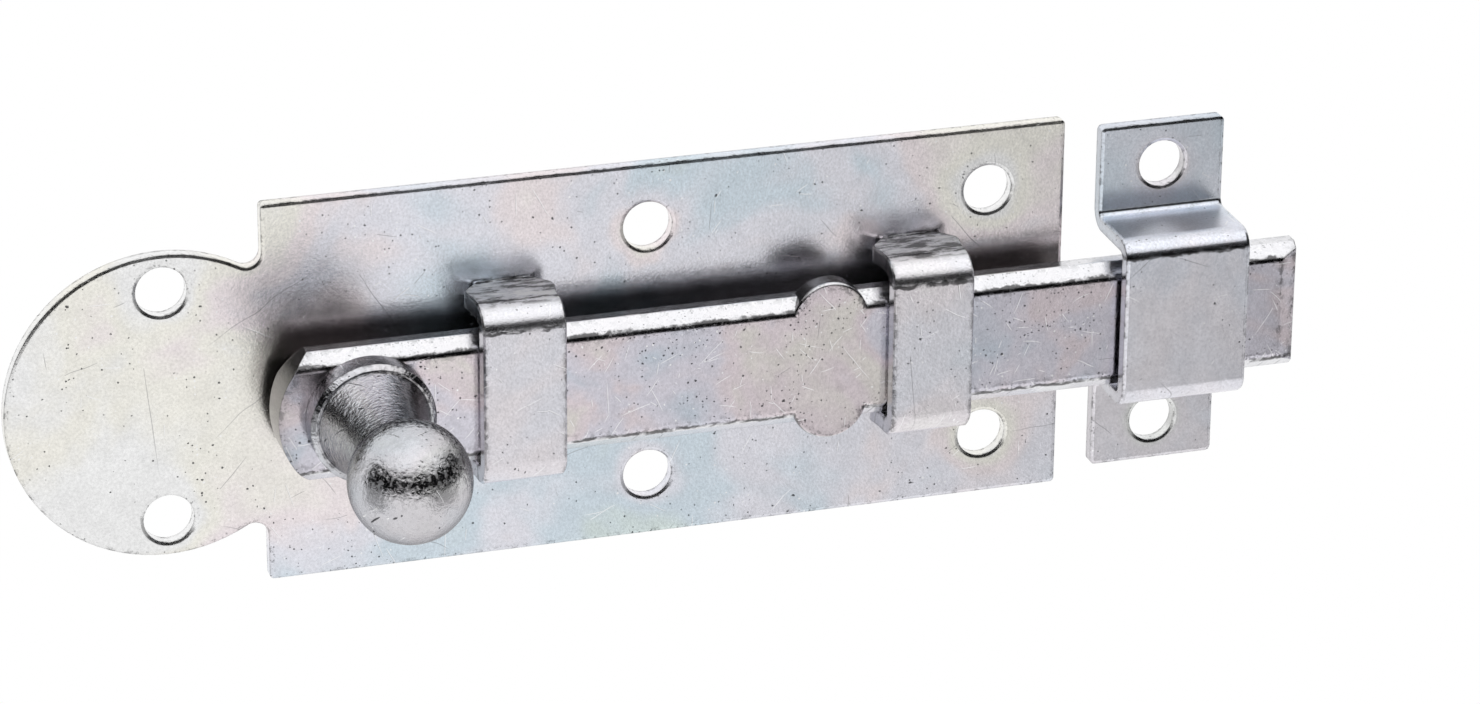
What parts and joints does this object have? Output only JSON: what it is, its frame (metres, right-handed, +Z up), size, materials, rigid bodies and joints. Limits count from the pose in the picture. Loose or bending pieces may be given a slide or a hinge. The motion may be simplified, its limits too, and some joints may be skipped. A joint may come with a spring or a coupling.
{
  "type": "flat slide bolt",
  "caption": "Flat slide bolt in bright zinc-plated steel: a punched back plate with a round lobe, bent keepers, a bevelled bar with a ball knob, and a screw-on strike.",
  "frame": {"origin": "on the back face of the plate, at mid-length on its centre line", "axes": "+X along the bar towards its nose, +Z up, and the front with the knob faces -Y"},
  "size_m": [0.146, 0.0329, 0.044],
  "materials": {
    "plated_sheet": "satin",
    "plated_strap": "satin",
    "plated_bar": "satin",
    "polished_knob": "gloss",
    "plated_strike": "satin"
  },
  "bodies": {
    "frame": {"back_plate": "plated_sheet", "left_keeper": "plated_strap", "right_keeper": "plated_strap", "strike": "plated_strike"},
    "bolt": {"slide_bolt": "plated_bar", "knob": "polished_knob"}
  },
  "joints": [
    {"name": "bolt_slide", "type": "slide", "parent": "frame", "child": "bolt", "axis": [1, 0, 0], "range_m": [-0.0271, 0.003]}
  ]
}
